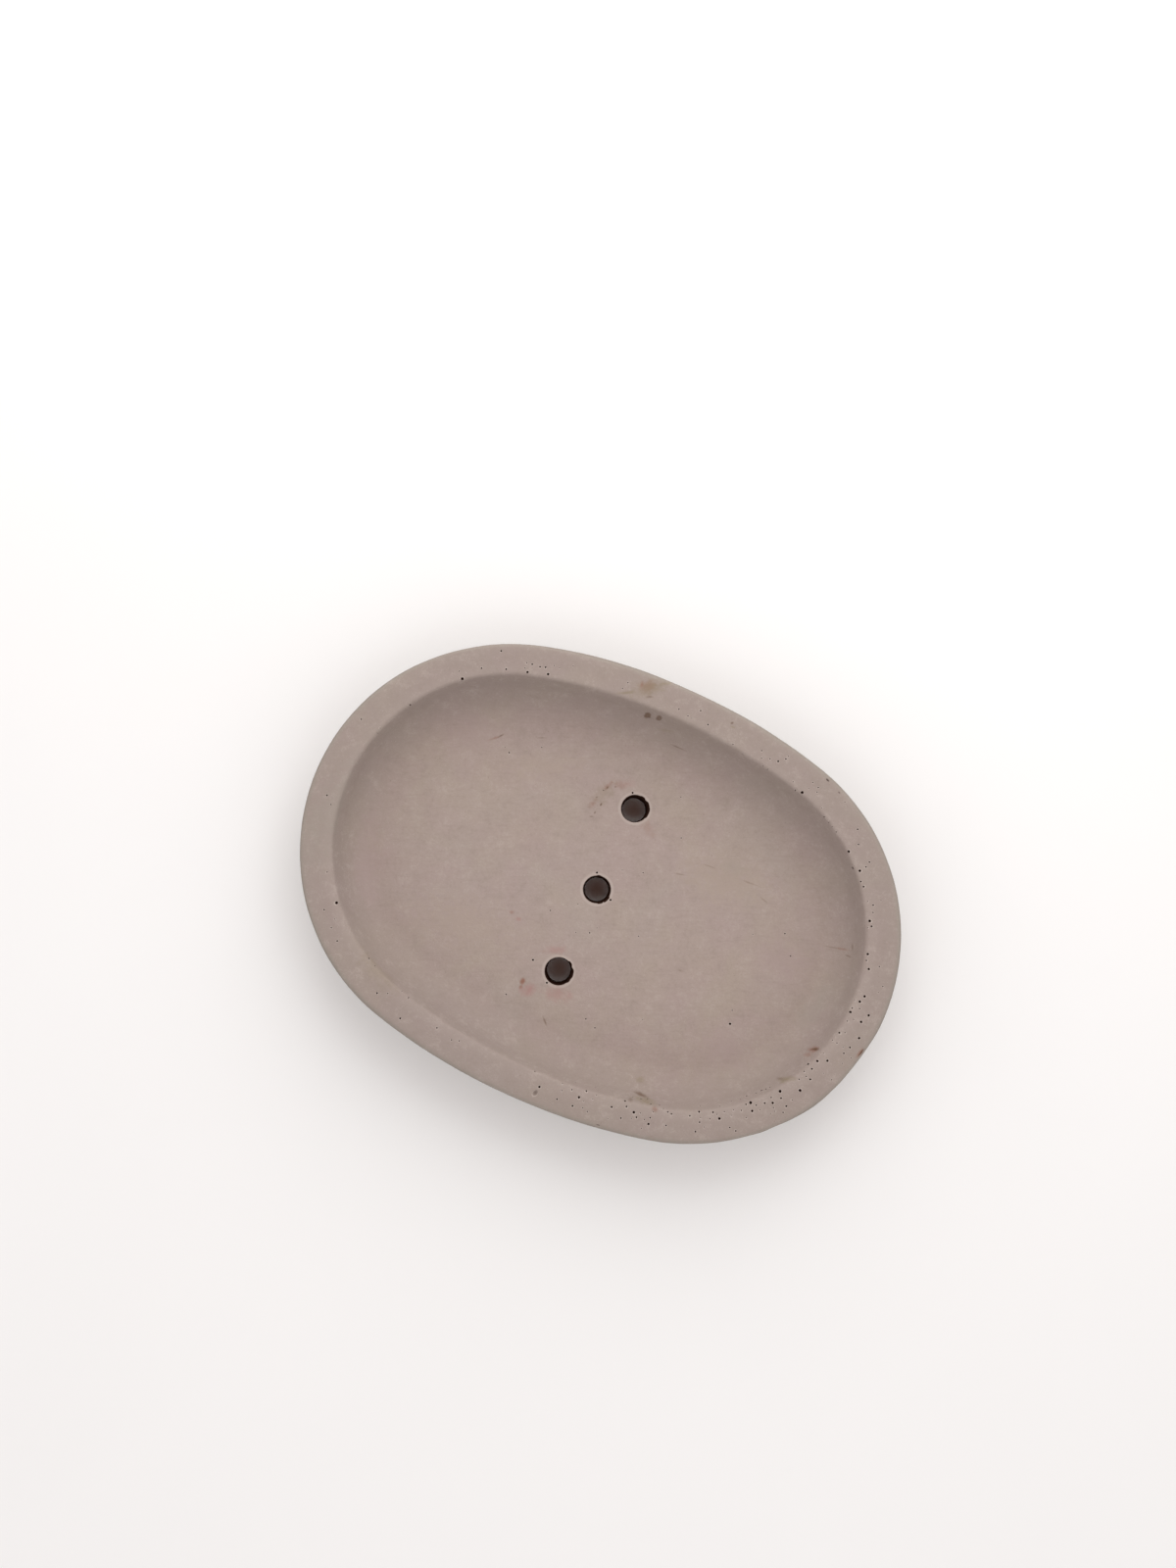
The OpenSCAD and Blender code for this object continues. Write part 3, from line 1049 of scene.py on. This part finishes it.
# (colour, x, y, direction in degrees, half length, half width, softness, breakup, strength)
SMEARS = (
    (RUST, -9, 46.8, 40, 3, 2, 1, 1.4, 0.54),
    (OLIVE, -8.7, 46.6, 44, 5.8, 2.8, 1, 1.9, 0.52),
    (RUST, -10.4, 46.6, 100, 1.6, 0.5, 0.9, 1.2, 0.42),
    (OLIVE, -12.6, 43.6, 28, 3.4, 0.5, 1, 1.4, 0.64),
    (OLIVE, -5.8, 49, 36, 2.8, 0.7, 1, 1.4, 0.58),
    (UMBER, -7.6, 44.8, 24, 1.3, 0.35, 0.9, 1.4, 0.44),
    (UMBER, -6.4, 41.3, 10, 0.98, 0.76, 0.45, 1.2, 0.76),
    (UMBER, -3.7, 41.7, 0, 0.84, 0.58, 0.45, 1.2, 0.66),
    (RUST, -9.6, 17.7, 70, 1.8, 1, 0.9, 2.6, 0.42),
    (OLIVE, -8.2, 20.8, 66, 6.6, 2.8, 1, 2.6, 0.3),
    (RUST, -8, 23.2, 70, 1.8, 0.8, 0.9, 2.2, 0.42),
    (RUST, -5.4, 24.2, 30, 2.6, 1.2, 1, 2.4, 0.34),
    (ROSE, -4.2, 25.4, 20, 3.2, 1.5, 1, 2, 0.17),
    (UMBER, -7.8, 18.3, 90, 0.6, 0.32, 0.8, 0.8, 0.74),
    (UMBER, -9.4, 19.5, 60, 0.42, 0.26, 0.8, 0.6, 0.55),
    (UMBER, -6.4, 23.5, 20, 0.45, 0.28, 0.8, 0.6, 0.5),
    (UMBER, -8.3, 16, 80, 0.45, 0.3, 0.8, 0.8, 0.62),
    (UMBER, -8, 22.6, 80, 0.55, 0.32, 0.8, 0.8, 0.66),
    (UMBER, -8.7, 14.8, 20, 0.8, 0.25, 0.9, 1, 0.44),
    (RUST, 4.6, 17.6, -30, 3.2, 1.6, 1, 2.4, 0.22),
    (RUST, -7.6, -26.8, 90, 1.15, 0.85, 0.8, 1, 0.84),
    (RUST, -7.4, -28.1, 80, 0.75, 0.65, 0.8, 0.9, 0.6),
    (ROSE, -5.4, -28, 30, 2.8, 1.9, 1, 1.6, 0.74),
    (ROSE, 1, -26.2, 14, 4.8, 2.6, 1, 1.8, 0.48),
    (ROSE, -3.4, -17, 26, 3.6, 1.5, 1, 2, 0.44),
    (UMBER, 0.9, -33, -44, 1.7, 0.34, 0.9, 1.2, 0.56),
    (RUST, -16.5, -13.3, 10, 0.9, 0.65, 0.9, 0.9, 0.46),
    (ROSE, -14.4, -14.1, 10, 0.9, 0.7, 0.9, 1, 0.5),
    (UMBER, 27.6, -38.5, 2, 2.4, 0.55, 0.9, 1.2, 0.76),
    (OLIVE, 28.8, -38.9, -8, 4.6, 1.5, 1, 1.8, 0.64),
    (RUST, 31.1, -39.5, 10, 1.2, 0.8, 0.9, 1.2, 0.5),
    (UMBER, 25.4, -40, 20, 0.8, 0.6, 0.9, 1, 0.4),
    (OLIVE, 26.4, -36, 30, 1.5, 0.9, 1, 1.4, 0.46),
    (RUST, 59, -13.1, 44, 2.1, 0.6, 0.9, 1.4, 0.74),
    (UMBER, 59.2, -12.9, 42, 1.4, 0.34, 0.8, 1.1, 0.84),
    (RUST, 58.3, -14.7, 44, 1.7, 0.65, 1, 1.4, 0.42),
    (OLIVE, 55.4, -21.7, 34, 3.8, 0.8, 1, 1.4, 0.72),
    (UMBER, 54.5, -22.2, 30, 1.2, 0.4, 0.9, 1.2, 0.36),
    (UMBER, 68.2, -9.2, 76, 1.5, 0.4, 0.8, 0.9, 0.86),
    (RUST, 67.9, -9.4, 76, 1.8, 0.55, 0.9, 1.2, 0.46),
    (RUST, 57.2, 10.5, 16, 3.2, 0.42, 1, 1.4, 0.42),
    (UMBER, 58.6, 9.5, 0, 0.9, 0.3, 0.9, 0.8, 0.45),
    (UMBER, 58.5, 11.8, 110, 1, 0.25, 0.9, 0.8, 0.4),
    (UMBER, 55, 9.9, 14, 2.6, 0.25, 1, 1.2, 0.34),
    (UMBER, -36, 23.5, 55, 1.3, 0.3, 0.9, 0.8, 0.62),
    (RUST, -37.3, 22.2, 44, 2, 0.45, 1, 1.6, 0.46),
    (UMBER, -27, 27, 24, 1.7, 0.22, 1, 1.2, 0.36),
    (UMBER, 3.3, 38, 0, 2.3, 0.26, 0.9, 1, 0.5),
    (OLIVE, -1, 40.2, 14, 2.6, 0.5, 1, 1.6, 0.3),
    (UMBER, 12, 47, 60, 0.55, 0.45, 0.8, 0.8, 0.65),
    (OLIVE, 12.5, 46.2, 0, 0.9, 0.35, 0.9, 1, 0.5),
    (UMBER, 16, 11, 14, 2, 0.24, 1, 1.6, 0.36),
    (UMBER, 21.4, 15.5, 4, 2.6, 0.22, 1, 1.4, 0.32),
    (UMBER, 31.7, 15.8, 4, 3.6, 0.26, 1, 2, 0.3),
    (UMBER, 36.5, 13.4, -16, 1.6, 0.26, 1, 1.6, 0.32),
    (UMBER, 24.9, -9.5, 4, 1.1, 0.5, 1, 1.4, 0.34),
)
MARK_REACH_Z = 3.0


def marked(below, tone, x, y, turn, half_long, half_wide, softness, breakup, strength):
    """The colour below with one mark on it, at the height of the surface there."""
    height = top_at(x, y)[0].z / MM
    return use(
        tree, stain, Colour=below, Stain=tone, Place=place, Centre=(x, y, height), Turn=math.radians(turn),
        Half_Size=(half_long, half_wide, MARK_REACH_Z), Softness=softness, Breakup=breakup,
        Strength=strength).outputs["Colour"]


for tone, x, y, turn, half_long, half_wide, strength in TINTS:
    colour = marked(colour, tone, x, y, turn, half_long, half_wide, 1.0, TINT_BREAKUP, strength)
for smear in SMEARS:
    colour = marked(colour, *smear)
print("tints and smears:", len(TINTS), len(SMEARS))

# %% [markdown]
# The concrete is matt all over, a little smoother where hands have rubbed it, and quite dull inside the
# pits. Its sand shows as a faint bump of a few hundredths of a millimetre.

# %% Finish of the concrete
GLOSS = 0.25
SAND_HEIGHT = 0.05 * MM


def bumped(tree, height, strength, distance):
    """The normal of a surface that a height makes bumpy."""
    sockets = {"Height": height, "Strength": strength, "Distance": distance}
    return add(tree, "ShaderNodeBump", sockets).outputs["Normal"]


handled = clouded(tree, place, 12.0, 1.4)
relief = math_node(tree, "ADD", grains.outputs["Height"], times(tree, mottle.outputs["Pale"], 0.8))
specular = shader.inputs["Specular IOR Level"]
specular.default_value = GLOSS
tree.links.new(remap(tree, in_shaded_hollow, 0.0, 1.0, GLOSS, 0.0), specular)
feed(tree, shader, {
    "Base Color": colour,
    "Roughness": remap(tree, handled, 0.0, 1.0, 0.78, 0.92),
    "Normal": bumped(tree, relief, 0.5, SAND_HEIGHT),
})
dish.data.materials.clear()
dish.data.materials.append(concrete)
print("nodes in the concrete:", len(tree.nodes))

# %% [markdown]
# ## Feet and adhesive
# The four feet are small discs of milky silicone, a little translucent, with dust in their skin, and a
# thin disc of clear adhesive holds each one. Their shape in the frame is already right, so they keep it
# and only get a finish.

# %% Silicone and adhesive
MILKY, HAZY, DUSTY = (0.72, 0.71, 0.67, 1.0), (0.62, 0.61, 0.57, 1.0), (0.35, 0.31, 0.27, 1.0)
TAPE, TAPE_AGED = (0.80, 0.78, 0.70, 1.0), (0.66, 0.62, 0.52, 1.0)
DUST_HEIGHT = 0.02 * MM
GLOW_REACH = (1.5 * MM, 1.4 * MM, 1.2 * MM)

silicone, tree, shader, place = new_material("milky_silicone")
haze = clouded(tree, place, 3.0, 1.0)
dust = use(tree, grain, Place=place, Size=0.3)
colour = laid_over(tree, MILKY, ((HAZY, haze, 1.0), (DUSTY, dust.outputs["Dark"], 0.35)))
feed(tree, shader, {
    "Base Color": colour,
    "Roughness": remap(tree, haze, 0.0, 1.0, 0.35, 0.5),
    "Normal": bumped(tree, dust.outputs["Height"], 0.3, DUST_HEIGHT),
    "Subsurface Weight": 0.35,
    "Subsurface Radius": GLOW_REACH,
})

adhesive, tree, shader, place = new_material("clear_adhesive")
age = clouded(tree, place, 1.5, 1.0)
feed(tree, shader, {
    "Base Color": mixed(tree, age, TAPE, TAPE_AGED),
    "Roughness": remap(tree, age, 0.0, 1.0, 0.3, 0.45),
})

finishes = {"foot": silicone, "adhesive": adhesive}
dressed = [name for name in sorted(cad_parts) if name.split("_")[0] in finishes]
for name in dressed:
    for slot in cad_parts[name].material_slots:
        slot.material = finishes[name.split("_")[0]]
print("dressed:", dressed)

# %% [markdown]
# Even a sheet of paper isn't one flat white, so the floor's tone drifts a little.

# %% The floor's finish
PAPER, PAPER_GREY = (0.86, 0.86, 0.86, 1.0), (0.84, 0.84, 0.84, 1.0)

paper, tree, shader, place = new_material("pale_floor")
drift = clouded(tree, place, 60.0, 1.0)
feed(tree, shader, {"Base Color": mixed(tree, drift, PAPER, PAPER_GREY), "Roughness": 0.9})
floor.data.materials.append(paper)
print("materials:", sorted(material.name for material in bpy.data.materials if material.users))
